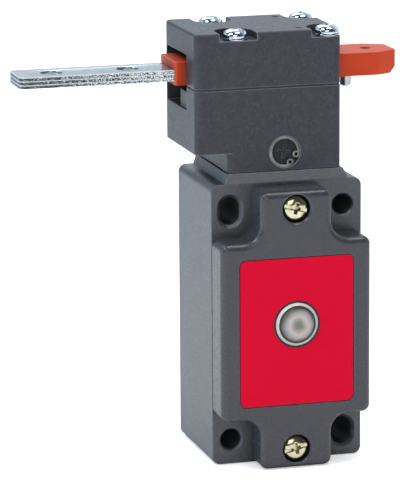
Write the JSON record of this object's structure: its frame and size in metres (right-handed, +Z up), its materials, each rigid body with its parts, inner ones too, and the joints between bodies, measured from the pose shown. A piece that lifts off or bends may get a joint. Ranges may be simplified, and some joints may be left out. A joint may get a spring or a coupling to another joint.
{
  "type": "tongue interlock switch",
  "caption": "Safety position switch: moulded housing with screwed cover and indicator, side-entry head, sliding tongue of stacked steel plates driving a toothed lever and contacts.",
  "frame": {"origin": "centre of the four fixing holes, on the rear mounting face", "axes": "+Z up from the cable entry to the head, -Y out of the cover front, +X to the right as seen from the front"},
  "size_m": [0.1, 0.0411, 0.1125],
  "materials": {
    "housing": "satin",
    "cover": "satin",
    "head": "satin",
    "label": "satin",
    "lens": "frosted",
    "lens_ring": "gloss",
    "lamp": "gloss",
    "seal": "matte",
    "cover_screw": "yellow zinc",
    "head_screw": "bright zinc",
    "washer": "bright zinc",
    "slide": "satin",
    "tongue": "galvanised",
    "rivet": "plain",
    "pin": "ground",
    "lever": "satin",
    "axle": "ground",
    "plug": "satin",
    "ring": "spring steel",
    "plunger": "satin",
    "spring": "spring steel",
    "contact_block": "satin",
    "carrier": "satin",
    "contact": "plain",
    "terminal": "plain",
    "terminal_screw": "zinc"
  },
  "bodies": {
    "switch": {"axle_plug": "plug", "contact_block": "contact_block", "cover": "cover", "cover_gasket": "seal", "cover_screw_lower": "cover_screw", "cover_screw_upper": "cover_screw", "head_base": "head", "head_cap": "head", "head_screw_1": "head_screw", "head_screw_2": "head_screw", "head_screw_3": "head_screw", "head_screw_4": "head_screw", "head_seal": "seal", "housing": "housing", "indicator_lamp": "lamp", "indicator_lens": "lens", "indicator_ring": "lens_ring", "label": "label", "lever_axle": "axle", "retaining_ring": "ring", "return_spring": "spring", "spring_washer_1": "washer", "spring_washer_2": "washer", "spring_washer_3": "washer", "spring_washer_4": "washer", "terminal_1": "terminal", "terminal_2": "terminal", "terminal_3": "terminal", "terminal_4": "terminal", "terminal_screw_1": "terminal_screw", "terminal_screw_2": "terminal_screw", "terminal_screw_3": "terminal_screw", "terminal_screw_4": "terminal_screw"},
    "tongue": {"slide": "slide", "stop_pin": "pin", "tongue_plate_1": "tongue", "tongue_plate_2": "tongue", "tongue_plate_3": "tongue", "tongue_rivet_1": "rivet", "tongue_rivet_2": "rivet"},
    "lever": {"toothed_lever": "lever"},
    "carrier": {"plunger": "plunger", "contact_carrier": "carrier", "contact_bridge_nc": "contact", "contact_bridge_no": "contact"}
  },
  "joints": [
    {"name": "tongue_slide", "type": "slide", "parent": "switch", "child": "tongue", "axis": [-1, 0, 0], "range_m": [0, 0.01]},
    {"name": "lever_turn", "type": "hinge", "parent": "switch", "child": "lever", "pos_m": [0.0002, -0.012, 0.0442], "axis": [0, -1, 0], "range_deg": [0, 38.2]},
    {"name": "carrier_press", "type": "slide", "parent": "switch", "child": "carrier", "axis": [0, 0, -1], "range_m": [0, 0.003], "stiffness_N_per_m": 300, "springref_m": -0.002, "deforming": ["return_spring"]}
  ],
  "couplings": [
    {"joint": "lever_turn", "follows": "tongue_slide", "rad_per_m": 66.667},
    {"joint": "carrier_press", "follows": "tongue_slide", "ratio": 0.3}
  ]
}
